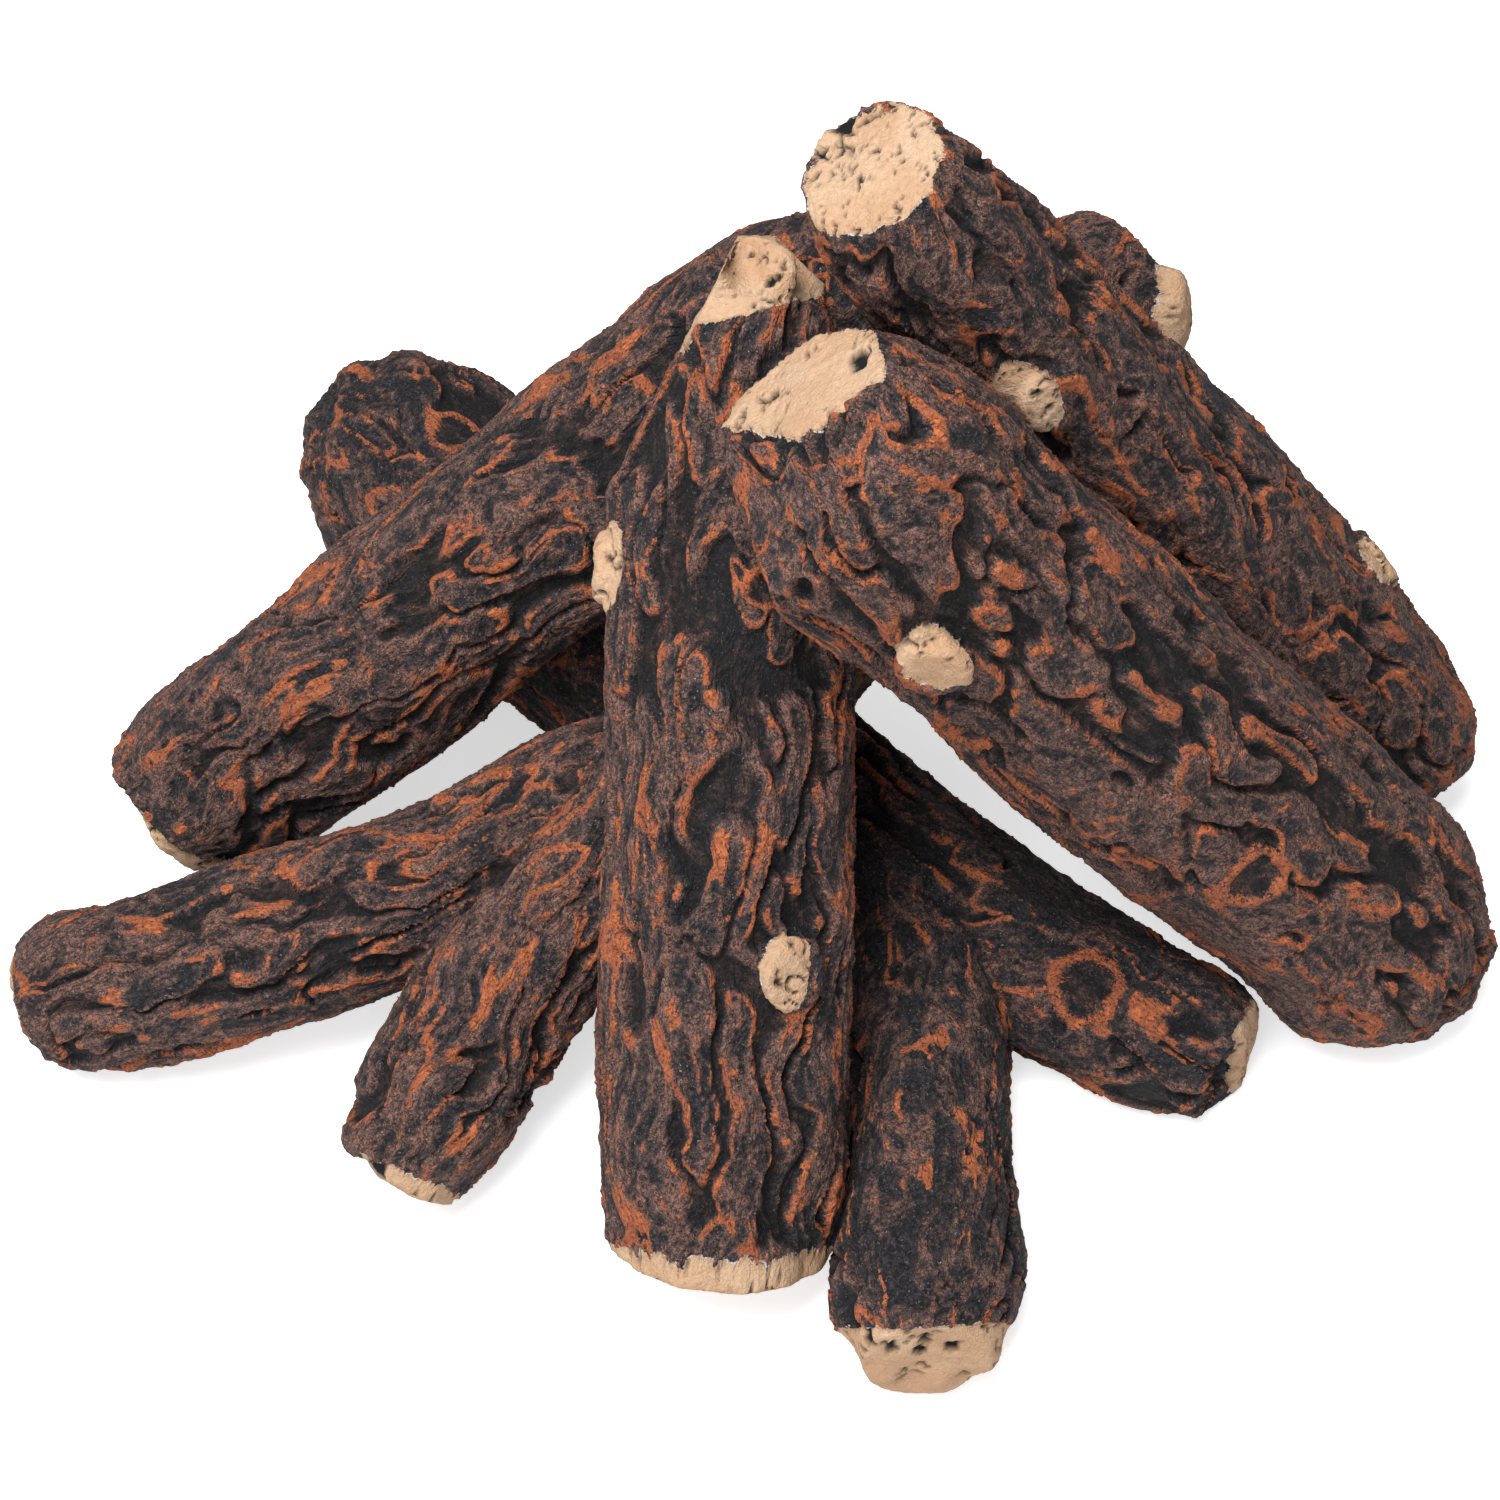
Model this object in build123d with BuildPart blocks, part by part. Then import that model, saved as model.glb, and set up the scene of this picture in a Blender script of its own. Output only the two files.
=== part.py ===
from build123d import *
from dataclasses import dataclass
from math import cos, pi, radians, sin, tan
import os

import numpy as np

# A set of six loose refractory ceramic logs for a gas fire, stacked as they burn.
# Two forked logs lie crossed on the hearth and four straight logs lean on them.
# X runs to the right, Y to the back and Z up. All lengths are millimetres.
# The origin is on the hearth, under the point where the two forked logs cross.

# The right forked log lies flat: its trunk runs to the back left, its arms right and front
RIGHT_TRUNK_BACK = 242.0
RIGHT_TRUNK_FRONT = 69.0
RIGHT_TRUNK_DIAMETER = 96.0
RIGHT_ARM_LENGTH = 119.0
RIGHT_ARM_DIAMETER = 56.0
RIGHT_ARM_BEND = 14.5
RIGHT_FRONT_ARM_LENGTH = 179.0
RIGHT_FRONT_ARM_DIAMETER = 59.0
RIGHT_FRONT_ARM_ANGLE = -45.5
RIGHT_TRUNK_HEADING = -46.5
RIGHT_TRUNK_BED_DEPTH = 6.0

# The left forked log stands on the tips of its arms, and its trunk lies over the other trunk
LEFT_TRUNK_BACK = 178.0
LEFT_TRUNK_FRONT = 115.0
LEFT_TRUNK_DIAMETER = 68.0
LEFT_FRONT_ARM_LENGTH = 104.0
LEFT_FRONT_ARM_DIAMETER = 57.0
LEFT_FRONT_ARM_BEND = 14.0
LEFT_ARM_FORK_GAP = 60.0
LEFT_ARM_LENGTH = 231.0
LEFT_ARM_STRAIGHT = 138.0
LEFT_ARM_DIAMETER = 58.0
LEFT_ARM_ANGLE = -24.5
LEFT_ARM_BEND = -10.0
LEFT_TRUNK_HEADING = 225.0

# The four straight logs, each with the diameter at its foot and at its upper end
LEFT_LOG_LENGTH = 318.0
LEFT_LOG_FOOT_DIAMETER = 73.0
LEFT_LOG_TOP_DIAMETER = 76.0
FRONT_LOG_LENGTH = 324.0
FRONT_LOG_FOOT_DIAMETER = 80.0
FRONT_LOG_TOP_DIAMETER = 72.0
RIGHT_LOG_LENGTH = 349.0
RIGHT_LOG_FOOT_DIAMETER = 86.0
RIGHT_LOG_TOP_DIAMETER = 81.0
BACK_LOG_LENGTH = 374.0
BACK_LOG_FOOT_DIAMETER = 88.0
BACK_LOG_TOP_DIAMETER = 56.0

# Where the straight logs stand and which way they point, seen from above
LEFT_LOG_BEHIND_CROSSING = 70.0
LEFT_LOG_FOOT_REACH = 219.0
LEFT_LOG_HEADING = 18.0
FRONT_LOG_FORWARD = 137.0
FRONT_LOG_ARM_GAP = 2.0
FRONT_LOG_HEADING = 88.0
RIGHT_LOG_ARM_GAP = 18.0
RIGHT_LOG_STEP_ANGLE = 33.0
RIGHT_LOG_HEADING = 180.0
BACK_LOG_SIDE_GAP = 10.0
BACK_LOG_HEADING = 191.2

# Where the knots sit: each one's share of the log's length and its angle round the log
FRONT_KNOT_SHARES = (0.68, 0.3)
FRONT_KNOT_ANGLES = (-3.0, 126.0)
RIGHT_KNOT_SHARES = (0.79,)
RIGHT_KNOT_ANGLES = (-9.0,)
BACK_KNOT_SHARES = (0.77, 0.27)
BACK_KNOT_ANGLES = (8.0, 96.0)

# The broad ridges of the bark, which lie along every log
BARK_RIDGE_HEIGHT = 3.2
BARK_RIDGE_SPACING = 36.0
BARK_RIDGE_LENGTH = 96.0
BARK_CROSSING_SHARE = 0.4
BARK_SWAY = 1.5

# Fits and small sizes that all the logs share
REST_CLEARANCE = 0.5
FOOT_FLAT_DEPTH = 2.0
KNOT_DIAMETER = 25.0
KNOT_STAND = 3.0
KNOT_TAPER = 2.0
SECTION_SPACING = 13.0
SAMPLE_SPACING = 3.0

SECTION_POINTS = 32
SAMPLE_ANGLES = 96
CAP_STEPS = 3
LEAN_STEP = 1.0
LEAN_HALVINGS = 14


@dataclass
class Limb:
    """A limb whose sections stand square to its own x axis, round a bent centre line."""

    length: float
    start_diameter: float
    end_diameter: float
    start_cap_share: float = 0.8
    end_cap_share: float = 0.8
    end_cap_reach_share: float = 1.0
    taper_power: float = 1.0
    bend: float = 0.0
    bend_at: float = 0.0
    oval_share: float = 0.03
    lobe_share: float = 0.02
    swell_share: float = 0.02
    phase: float = 0.0
    flat_bed: bool = False
    bark_share: float = 1.0
    origin: tuple = (0.0, 0.0, 0.0)
    heading: float = 0.0
    rise: float = 0.0

    def axes(self):
        """The limb's x, y and z directions in the frame of its log, as rows."""
        turn = radians(self.heading)
        rise = radians(self.rise)
        along = (cos(rise) * cos(turn), cos(rise) * sin(turn), sin(rise))
        side = (-sin(turn), cos(turn), 0.0)
        return np.array([along, side, np.cross(along, side)])

    def plain_radius(self, x):
        """The radius at station x without its lobes, swellings and rounded ends."""
        narrowed = (self.start_diameter - self.end_diameter) * (x / self.length) ** self.taper_power
        return (self.start_diameter - narrowed) / 2

    def centre(self, x):
        """The sideways and upward steps of the centre line at station x."""
        blend = self.end_diameter
        past = np.clip(x - self.bend_at + blend, 0.0, None)
        curve = np.where(past < 2 * blend, past**2 / (4 * blend), past - blend)
        up = self.plain_radius(x) if self.flat_bed else 0.0 * x
        return tan(radians(self.bend)) * curve, up

    def radius(self, x, theta):
        """The radius of the skin at station x and angle theta, in radians."""
        share = x / self.length
        oval = self.oval_share * np.cos(2 * (theta + share) + self.phase)
        lobes = self.lobe_share * np.cos(3 * theta - 4 * share + 2 * self.phase)
        swell = self.swell_share * np.sin(5 * share + 3 * self.phase)
        plain = self.plain_radius(x) * (1 + oval + lobes + swell)
        return plain * self.cap(x) + self.bark_share * self.bark(x, theta) * self.cap(x) ** 4

    def bark(self, x, theta):
        """How far the bark stands out: swaying ridges with slanting ones across, none on a bed."""
        count = max(4, round(pi * self.start_diameter / BARK_RIDGE_SPACING))
        turn = 2 * pi * x / BARK_RIDGE_LENGTH + self.phase
        ridges = np.cos(count * theta + BARK_SWAY * np.sin(turn) + self.phase)
        crossing = np.cos((count - 2) * theta - turn + 2 * self.phase)
        woven = (1 - BARK_CROSSING_SHARE) * ridges + BARK_CROSSING_SHARE * crossing
        if self.flat_bed:
            woven = woven * (1 - ((1 - np.sin(theta)) / 2) ** 3)
        return BARK_RIDGE_HEIGHT / 2 * woven

    def end_cap_length(self):
        """How far the rounding of the far end reaches back along the limb."""
        return self.end_cap_reach_share * self.end_diameter / 2

    def cap(self, x):
        """The share of the full radius that the rounded ends leave at station x."""
        start = np.clip(x / (self.start_diameter / 2), 0.0, 1.0)
        end = np.clip((self.length - x) / self.end_cap_length(), 0.0, 1.0)
        round_start = self.start_cap_share + (1 - self.start_cap_share) * np.sin(pi / 2 * start)
        round_end = self.end_cap_share + (1 - self.end_cap_share) * np.sin(pi / 2 * end)
        return round_start * round_end

    def stations(self, spacing):
        """The places of the sections: close together in the caps and even between them."""
        first = self.start_diameter / 2
        last = self.length - self.end_cap_length()
        count = max(2, round((last - first) / spacing))
        caps = [first * step / CAP_STEPS for step in range(CAP_STEPS)]
        caps += [self.length - self.end_cap_length() * step / CAP_STEPS for step in range(CAP_STEPS)]
        return sorted(caps + list(np.linspace(first, last, count + 1)))

    def skin(self, x, theta):
        """The points of the skin at stations x and angles theta, in the frame of the log."""
        side, up = self.centre(x)
        reach = self.radius(x, theta)
        local = np.stack([x, side + reach * np.cos(theta), up + reach * np.sin(theta)], axis=-1)
        return local.reshape(-1, 3) @ self.axes() + np.array(self.origin)

    def sampled(self):
        """Points all over the skin, in the frame of the log."""
        theta = np.arange(SAMPLE_ANGLES) * 2 * pi / SAMPLE_ANGLES
        return self.skin(*np.meshgrid(self.stations(SAMPLE_SPACING), theta))

    def spot(self, x):
        """The centre line at station x, in the frame of the log."""
        side, up = self.centre(np.float64(x))
        return np.array([x, side, up]) @ self.axes() + np.array(self.origin)

    def gap_to(self, points):
        """The distance from each point, in the frame of the log, to this limb's skin."""
        x, y, z = self.axes() @ (points - np.array(self.origin)).T
        held = np.clip(x, 0.0, self.length)
        side, up = self.centre(held)
        outside = np.hypot(y - side, z - up) - self.radius(held, np.arctan2(z - up, y - side))
        past_end = np.abs(x - held)
        return np.where(past_end > 0, np.hypot(np.clip(outside, 0.0, None), past_end), outside)


def turn_about(axis, angle):
    """The rows that a frame's x, y and z directions have after a turn about an axis."""
    x, y, z = np.array(axis) / np.linalg.norm(axis)
    cross = np.array([[0, -z, y], [z, 0, -x], [-y, x, 0]])
    matrix = np.eye(3) + sin(radians(angle)) * cross + (1 - cos(radians(angle))) * cross @ cross
    return matrix.T


class Log:
    """One casting: its limbs, and where it has come to rest in the stack."""

    def __init__(self, limbs, heading, tilt_axis=(0.0, -1.0, 0.0), bed_depth=FOOT_FLAT_DEPTH):
        self.limbs = limbs
        self.heading = heading
        self.tilt_axis = tilt_axis
        self.bed_depth = bed_depth
        self.points = np.concatenate([limb.sampled() for limb in limbs])

    def stand(self, lean, station, target):
        """Lean the log, with a station of its first limb over target and its foot on the hearth."""
        self.lean = lean
        self.rows = turn_about(self.tilt_axis, lean) @ turn_about((0.0, 0.0, 1.0), self.heading)
        over = self.limbs[0].spot(station) @ self.rows
        lowest = (self.points @ self.rows)[:, 2].min()
        self.place = np.array([target[0] - over[0], target[1] - over[1], -lowest - self.bed_depth])

    def spot(self, limb, station):
        """The place of a station of a limb's centre line in the stack."""
        return limb.spot(station) @ self.rows + self.place

    def gap_to(self, points):
        """The least distance from points of the stack to this log."""
        own = (points - self.place) @ self.rows.T
        return min(limb.gap_to(own).min() for limb in self.limbs)

    def settle(self, supports, station, target):
        """Raise the log from the hearth until it lies clear on the logs below it."""

        def clear(lean):
            self.stand(lean, station, target)
            skin = self.points @ self.rows + self.place
            return min(other.gap_to(skin) for other in supports) > REST_CLEARANCE

        high = LEAN_STEP
        while not clear(high):
            high += LEAN_STEP
        low = high - LEAN_STEP
        for _ in range(LEAN_HALVINGS):
            middle = (low + high) / 2
            low, high = (low, middle) if clear(middle) else (middle, high)
        self.stand(high, station, target)

    def section_plane(self, limb, station):
        """The plane of a limb's section, with its x direction at angle zero."""
        along, side, _ = limb.axes() @ self.rows
        return Plane(Vector(*self.spot(limb, station)), x_dir=Vector(*side), z_dir=Vector(*along))


def knots(limb, station_shares, angles):
    """Sawn-off twigs that stand a little proud of a straight log's skin."""
    stubs = []
    for share, angle in zip(station_shares, angles):
        station = share * limb.length
        stub = Limb(
            length=float(limb.radius(station, radians(angle))) + KNOT_STAND,
            start_diameter=KNOT_DIAMETER,
            end_diameter=KNOT_DIAMETER,
            end_cap_share=0.85,
            bark_share=0.0,
            origin=tuple(limb.spot(station)),
            heading=90.0,
            rise=angle,
        )
        stubs.append(stub)
    return stubs


def add_limb(log, limb):
    """Loft one limb through its sections, where the log rests."""
    sections = []
    angles = [2 * pi * step / SECTION_POINTS for step in range(SECTION_POINTS)]
    for station in limb.stations(SECTION_SPACING):
        reach = [float(limb.radius(station, angle)) for angle in angles]
        with BuildSketch(log.section_plane(limb, station)) as section:
            with BuildLine():
                Spline(*[(r * cos(a), r * sin(a)) for r, a in zip(reach, angles)], periodic=True)
            make_face()
        sections.append(section.sketch.face())
    loft(sections)


def add_knot(log, stub):
    """Build one knot as a slightly tapered round stub."""
    with BuildSketch(log.section_plane(stub, 0.0)) as root:
        Circle(stub.start_diameter / 2)
    extrude(root.sketch.face(), amount=stub.length, taper=KNOT_TAPER)


# The right forked log, flat on the hearth
right_fork_station = RIGHT_TRUNK_BACK + RIGHT_TRUNK_FRONT
right_trunk = Limb(
    length=right_fork_station + RIGHT_ARM_LENGTH,
    start_diameter=RIGHT_TRUNK_DIAMETER,
    end_diameter=RIGHT_ARM_DIAMETER,
    start_cap_share=0.55,
    end_cap_share=0.75,
    taper_power=1.2,
    bend=RIGHT_ARM_BEND,
    bend_at=right_fork_station,
    phase=0.4,
    flat_bed=True,
)
right_front_arm = Limb(
    length=RIGHT_FRONT_ARM_LENGTH,
    start_diameter=RIGHT_FRONT_ARM_DIAMETER,
    end_diameter=RIGHT_FRONT_ARM_DIAMETER,
    end_cap_share=0.7,
    phase=1.9,
    flat_bed=True,
    origin=tuple(right_trunk.spot(right_fork_station) * (1, 1, 0)),
    heading=RIGHT_FRONT_ARM_ANGLE,
)
right_forked = Log([right_trunk, right_front_arm], RIGHT_TRUNK_HEADING, bed_depth=RIGHT_TRUNK_BED_DEPTH)
right_forked.stand(0.0, RIGHT_TRUNK_BACK, (0.0, 0.0))

# The left forked log, on its two tips and over the other trunk
left_fork_station = LEFT_TRUNK_BACK + LEFT_TRUNK_FRONT
left_trunk = Limb(
    length=left_fork_station + LEFT_FRONT_ARM_LENGTH,
    start_diameter=LEFT_TRUNK_DIAMETER,
    end_diameter=LEFT_FRONT_ARM_DIAMETER,
    start_cap_share=0.7,
    end_cap_share=0.7,
    bend=LEFT_FRONT_ARM_BEND,
    bend_at=left_fork_station,
    phase=2.6,
    flat_bed=True,
)
left_arm = Limb(
    length=LEFT_ARM_LENGTH,
    start_diameter=LEFT_ARM_DIAMETER,
    end_diameter=LEFT_ARM_DIAMETER,
    end_cap_share=0.65,
    bend=LEFT_ARM_BEND,
    bend_at=LEFT_ARM_STRAIGHT,
    phase=0.9,
    flat_bed=True,
    origin=tuple(left_trunk.spot(LEFT_TRUNK_BACK + LEFT_ARM_FORK_GAP) * (1, 1, 0)),
    heading=LEFT_ARM_ANGLE,
)
between_tips = (left_trunk.spot(left_trunk.length) - left_arm.spot(left_arm.length)) * (1, 1, 0)
left_forked = Log([left_trunk, left_arm], LEFT_TRUNK_HEADING, tilt_axis=between_tips)
left_forked.settle([right_forked], LEFT_TRUNK_BACK, (0.0, 0.0))

# The left log crosses the right forked log's trunk behind the crossing of the trunks
left_limb = Limb(
    length=LEFT_LOG_LENGTH,
    start_diameter=LEFT_LOG_FOOT_DIAMETER,
    end_diameter=LEFT_LOG_TOP_DIAMETER,
    start_cap_share=0.86,
    end_cap_share=0.75,
    phase=3.3,
)
left = Log([left_limb], LEFT_LOG_HEADING)
trunk_spot = right_forked.spot(right_trunk, RIGHT_TRUNK_BACK - LEFT_LOG_BEHIND_CROSSING)
left.settle([right_forked, left_forked], LEFT_LOG_FOOT_REACH, trunk_spot)

# The front log stands between the front arms of the forked logs
front_limb = Limb(
    length=FRONT_LOG_LENGTH,
    start_diameter=FRONT_LOG_FOOT_DIAMETER,
    end_diameter=FRONT_LOG_TOP_DIAMETER,
    start_cap_share=0.85,
    end_cap_share=0.35,
    end_cap_reach_share=1.7,
    phase=5.1,
)
front_knots = knots(front_limb, FRONT_KNOT_SHARES, FRONT_KNOT_ANGLES)
front = Log([front_limb, *front_knots], FRONT_LOG_HEADING)
fork_spot = right_forked.spot(right_trunk, right_fork_station)
front_step = (FRONT_LOG_FOOT_DIAMETER + RIGHT_FRONT_ARM_DIAMETER) / 2 + FRONT_LOG_ARM_GAP
front_foot = (fork_spot[0] - front_step, fork_spot[1] - FRONT_LOG_FORWARD)
front.settle([right_forked, left_forked, left], 0.0, front_foot)

# The right log stands beside the tip of the right arm and rests on the front log
right_limb = Limb(
    length=RIGHT_LOG_LENGTH,
    start_diameter=RIGHT_LOG_FOOT_DIAMETER,
    end_diameter=RIGHT_LOG_TOP_DIAMETER,
    start_cap_share=0.55,
    end_cap_share=0.75,
    phase=0.7,
)
right_knots = knots(right_limb, RIGHT_KNOT_SHARES, RIGHT_KNOT_ANGLES)
right = Log([right_limb, *right_knots], RIGHT_LOG_HEADING)
tip_spot = right_forked.spot(right_trunk, right_trunk.length)
right_step = (RIGHT_LOG_FOOT_DIAMETER + RIGHT_ARM_DIAMETER) / 2 + RIGHT_LOG_ARM_GAP
right_foot = (
    tip_spot[0] + right_step * cos(radians(RIGHT_LOG_STEP_ANGLE)),
    tip_spot[1] + right_step * sin(radians(RIGHT_LOG_STEP_ANGLE)),
)
right.settle([right_forked, left_forked, left, front], 0.0, right_foot)

# The back log stands behind the right log, nearly side by side with it
back_limb = Limb(
    length=BACK_LOG_LENGTH,
    start_diameter=BACK_LOG_FOOT_DIAMETER,
    end_diameter=BACK_LOG_TOP_DIAMETER,
    start_cap_share=0.55,
    end_cap_share=0.8,
    phase=4.2,
)
back_knots = knots(back_limb, BACK_KNOT_SHARES, BACK_KNOT_ANGLES)
back = Log([back_limb, *back_knots], BACK_LOG_HEADING)
back_step = (RIGHT_LOG_FOOT_DIAMETER + BACK_LOG_FOOT_DIAMETER) / 2 + BACK_LOG_SIDE_GAP
back_foot = (right_foot[0], right_foot[1] + back_step)
back.settle([right_forked, left_forked, left, front, right], 0.0, back_foot)

with BuildPart() as right_forked_log:
    for limb in right_forked.limbs:
        add_limb(right_forked, limb)
    split(bisect_by=Plane.XY, keep=Keep.TOP)
right_forked_log.part.label = "right_forked_log"

with BuildPart() as left_forked_log:
    for limb in left_forked.limbs:
        add_limb(left_forked, limb)
    split(bisect_by=Plane.XY, keep=Keep.TOP)
left_forked_log.part.label = "left_forked_log"

with BuildPart() as left_log:
    add_limb(left, left_limb)
    split(bisect_by=Plane.XY, keep=Keep.TOP)
left_log.part.label = "left_log"

with BuildPart() as front_log:
    add_limb(front, front_limb)
    for stub in front_knots:
        add_knot(front, stub)
    split(bisect_by=Plane.XY, keep=Keep.TOP)
front_log.part.label = "front_log"

with BuildPart() as right_log:
    add_limb(right, right_limb)
    for stub in right_knots:
        add_knot(right, stub)
    split(bisect_by=Plane.XY, keep=Keep.TOP)
right_log.part.label = "right_log"

with BuildPart() as back_log:
    add_limb(back, back_limb)
    for stub in back_knots:
        add_knot(back, stub)
    split(bisect_by=Plane.XY, keep=Keep.TOP)
back_log.part.label = "back_log"

os.makedirs("parts", exist_ok=True)
logs = {
    "right_forked_log": (right_forked_log, right_forked),
    "left_forked_log": (left_forked_log, left_forked),
    "left_log": (left_log, left),
    "front_log": (front_log, front),
    "right_log": (right_log, right),
    "back_log": (back_log, back),
}
for name, (built, log) in logs.items():
    export_step(built.part, f"parts/{name}.step")
    low = log.spot(log.limbs[0], 0.0)
    high = log.spot(log.limbs[0], log.limbs[0].length)
    print(f"{name}: lean {log.lean:.2f} degrees, axis from {low.round(1)} to {high.round(1)} mm")
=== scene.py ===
# %% [markdown]
# # A stack of ceramic gas logs
#
# The object is a set of six loose logs, cast in refractory ceramic and painted to look like
# charred oak. Two forked logs lie crossed on the hearth and four straight logs lean on them.
# The solids come from the CAD frame, in metres, and every piece below stays where its solid is.
# What is left to make is the skin: bark in relief, bare cream ends, knots, and the paint.

# %% Load the frame
import itertools
import math
from typing import NamedTuple

import bmesh
import bpy
import numpy as np
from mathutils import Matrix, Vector


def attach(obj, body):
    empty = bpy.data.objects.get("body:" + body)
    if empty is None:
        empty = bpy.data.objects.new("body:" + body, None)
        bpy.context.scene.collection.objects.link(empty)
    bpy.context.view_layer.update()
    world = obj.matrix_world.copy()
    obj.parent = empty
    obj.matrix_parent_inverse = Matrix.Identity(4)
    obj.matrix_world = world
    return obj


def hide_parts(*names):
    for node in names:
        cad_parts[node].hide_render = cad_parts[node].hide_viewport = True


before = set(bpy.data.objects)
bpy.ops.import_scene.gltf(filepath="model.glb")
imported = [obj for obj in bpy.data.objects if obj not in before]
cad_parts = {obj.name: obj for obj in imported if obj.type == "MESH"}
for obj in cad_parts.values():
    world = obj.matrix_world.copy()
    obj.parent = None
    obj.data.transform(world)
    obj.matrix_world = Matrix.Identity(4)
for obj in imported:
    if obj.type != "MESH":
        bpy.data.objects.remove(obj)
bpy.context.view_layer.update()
print("nodes:", sorted(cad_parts))

# %% [markdown]
# ## The camera
#
# The photograph looks down on the pile at about fifty degrees from well above it. A lens of
# 72 mm on a 36 mm wide sensor gives the same mild perspective. The camera comes first.

# %% Place the camera
CAMERA_PLACE = (-0.011, -0.685, 0.869)
CAMERA_DOWN_DEGREES = 50
CAMERA_LENS_MM = 72
CAMERA_SENSOR_MM = 36

camera_data = bpy.data.cameras.new("camera")
camera_data.lens = CAMERA_LENS_MM
camera_data.sensor_width = CAMERA_SENSOR_MM
camera = bpy.data.objects.new("camera", camera_data)
camera.location = CAMERA_PLACE
camera.rotation_euler = (math.radians(90 - CAMERA_DOWN_DEGREES), 0, 0)
bpy.context.scene.collection.objects.link(camera)
bpy.context.scene.camera = camera
bpy.context.scene.view_settings.view_transform = "Standard"
print("camera at", CAMERA_PLACE, "m, looking down by", CAMERA_DOWN_DEGREES, "degrees")

# %% [markdown]
# ## The line inside each log
#
# Bark follows the log that it grew on: its plates are long along the log and narrow round it.
# So each limb gets a line from end to end, in millimetres, and a point of the skin is described
# by how far along that line it lies and by its offset from it, sideways and upwards. A pattern
# painted on the flat and wrapped round would need a seam; this one needs none. A forked log has
# two limbs, and near the fork the patterns of both are blended.

# %% Centre lines of the limbs
LIMBS = {
    "right_forked_log": [
        [(-167, 176, 43), (-93, 98, 39), (-19, 20, 34), (59, -55, 29), (152, -115, 23)],
        [(50, -48, 24), (44, -226, 24)],
    ],
    "left_forked_log": [
        [(119, 113, 177), (53, 50, 139), (-14, -13, 101), (-77, -79, 62), (-128, -157, 21)],
        [(-40, -37, 84), (-92, -55, 67), (-145, -71, 51), (-200, -83, 36), (-256, -92, 21)],
    ],
    "left_log": [[(-219, -5, 24), (29, 76, 206)]],
    "front_log": [[(-21, -185, 21), (-14, 34, 260)]],
    "right_log": [[(226, -67, 13), (0, -67, 279)]],
    "back_log": [[(226, 30, 11), (23, -10, 323)]],
}


# %% Measure a point against a limb
# The first and last steps of a line reach up to this many of their lengths past its ends.
LENGTHS_BEYOND = 9


class Limb:
    """One limb's line, and the frame in which its bark pattern is laid out."""

    def __init__(self, points):
        self.points = np.array(points, float)
        self.steps = np.diff(self.points, axis=0)
        self.lengths = np.linalg.norm(self.steps, axis=1)
        self.starts = np.concatenate([[0], np.cumsum(self.lengths)])
        chord = self.points[-1] - self.points[0]
        self.side = np.cross((0, 0, 1), chord)
        self.side /= np.linalg.norm(self.side)
        self.up = np.cross(chord / np.linalg.norm(chord), self.side)

    def measure(self, spots):
        """Distance along the line, offsets to the side and up, and distance from the line."""
        best = np.full(len(spots), np.inf)
        along = np.zeros(len(spots))
        offset = np.zeros((len(spots), 3))
        last = len(self.steps) - 1
        for i, (start, step, length) in enumerate(zip(self.points, self.steps, self.lengths)):
            lowest = -LENGTHS_BEYOND if i == 0 else 0
            highest = LENGTHS_BEYOND if i == last else 1
            held = np.clip((spots - start) @ step / length**2, lowest, highest)
            away = spots - start - held[:, None] * step
            gap = np.linalg.norm(away, axis=1)
            nearer = gap < best
            best[nearer] = gap[nearer]
            along[nearer] = self.starts[i] + held[nearer] * length
            offset[nearer] = away[nearer]
        return along, offset @ self.side, offset @ self.up, best


limbs = {name: [Limb(points) for points in lines] for name, lines in LIMBS.items()}
for name, lines in limbs.items():
    print(name, "limb lengths in mm:", [round(line.starts[-1]) for line in lines])

# %% [markdown]
# ## Noise for the relief
#
# The bark could be a displacement texture, but then the finished mesh would only look rough in
# one renderer. Here the vertices themselves are moved, so the relief is in the geometry. The
# moves come from gradient noise: random slopes on a grid of cells, blended smoothly between
# them. The same seed gives the same bark on every run, and each use below has its own seed.

# %% Gradient noise on arrays of points
# The slopes are a power of two, so that & wraps the number of a cell round their table.
SLOPES = 256
NOISE_STRENGTH = 1.7


def noise(points, seed):
    """Smooth noise from about -1 to 1 at each point, with features about one unit in size."""
    draw = np.random.default_rng(seed)
    shuffle = draw.permutation(SLOPES)
    slopes = draw.normal(size=(SLOPES, 3))
    slopes /= np.linalg.norm(slopes, axis=1)[:, None]
    cell = np.floor(points).astype(np.int64)
    inside = points - cell
    fade = inside**3 * (inside * (inside * 6 - 15) + 10)
    total = np.zeros(len(points))
    wrap = SLOPES - 1
    for corner in itertools.product((0, 1), repeat=3):
        x, y, z = (cell + corner).T
        slope = slopes[shuffle[(shuffle[(shuffle[x & wrap] + y) & wrap] + z) & wrap]]
        weight = np.prod(np.where(corner, fade, 1 - fade), axis=1)
        total += weight * np.einsum("ij,ij->i", slope, inside - corner)
    return total * NOISE_STRENGTH


trial = noise(np.linspace((0.1, 0.2, 0.3), (90, 70, 50), 2000), seed=1)
print(f"a trial of the noise runs from {trial.min():.2f} to {trial.max():.2f}")

# %% Layers of noise, and a smooth step
LAYERS = 3
LAYER_GAIN = 0.6


def layered(points, seed):
    """Noise with finer and finer layers added, each weaker than the last."""
    total = np.zeros(len(points))
    for layer in range(LAYERS):
        total += LAYER_GAIN**layer * noise(points * 2.0**layer, seed + layer)
    return total


def ramp(values, low, high):
    """Zero below low, one above high and a smooth step between them."""
    share = np.clip((values - low) / (high - low), 0, 1)
    return share * share * (3 - 2 * share)


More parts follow.
